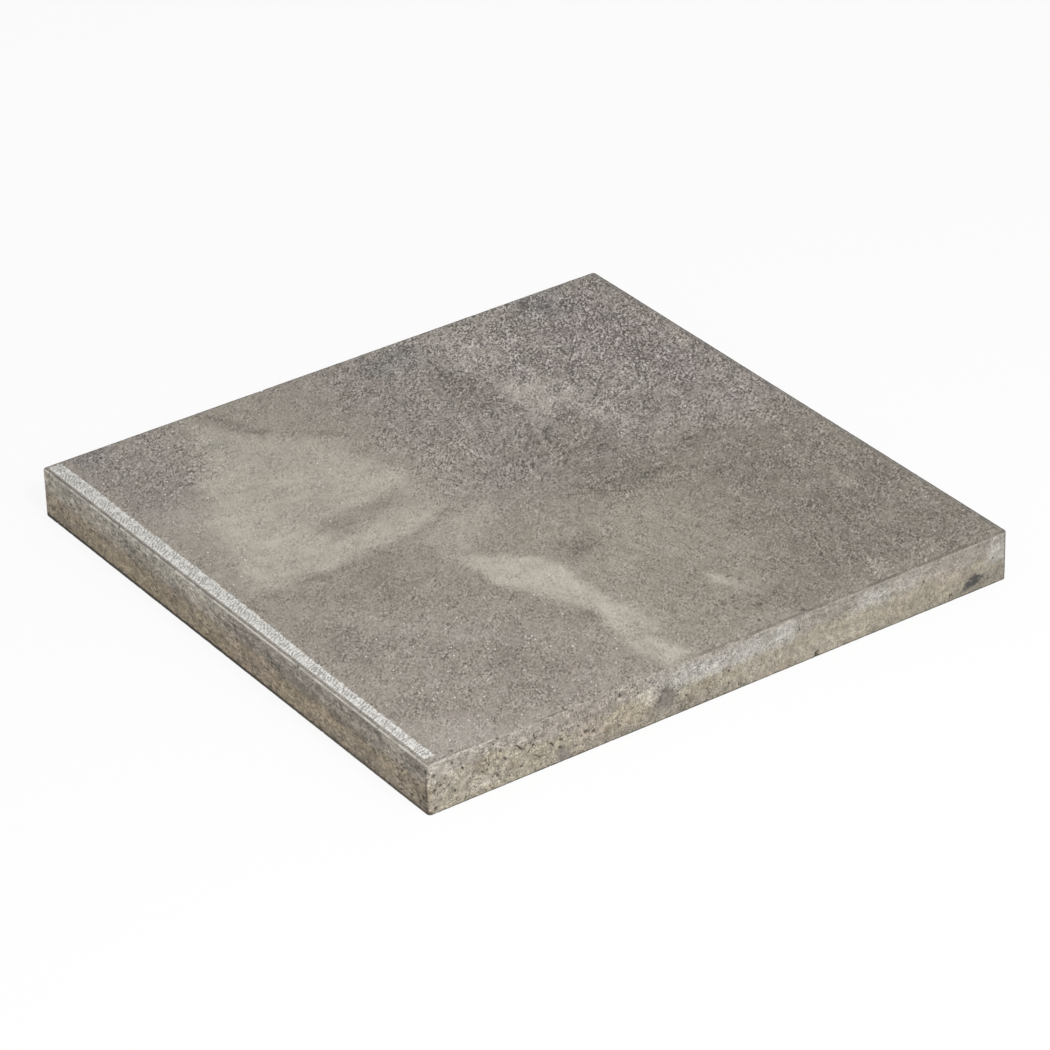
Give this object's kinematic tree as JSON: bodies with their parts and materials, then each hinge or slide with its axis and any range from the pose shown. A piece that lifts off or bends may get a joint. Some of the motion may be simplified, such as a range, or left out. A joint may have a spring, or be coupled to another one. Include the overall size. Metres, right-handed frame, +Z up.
{
  "type": "concrete paving slab",
  "caption": "Square pressed-concrete paving slab, flat on both faces, with slightly eased arrises and a narrow tooled margin along one edge of its walking face.",
  "frame": {"origin": "middle of the underside, on the level bed that the slab lies on", "axes": "+Z up through the walking face; the edge with the tooled margin faces -Y and runs along X"},
  "size_m": [0.5, 0.5, 0.04],
  "materials": {
    "concrete": "matt pressed concrete, warm grey and faintly marbled, with open pits in the sides"
  },
  "bodies": {
    "root": {"paving_slab": "concrete"}
  },
  "joints": []
}
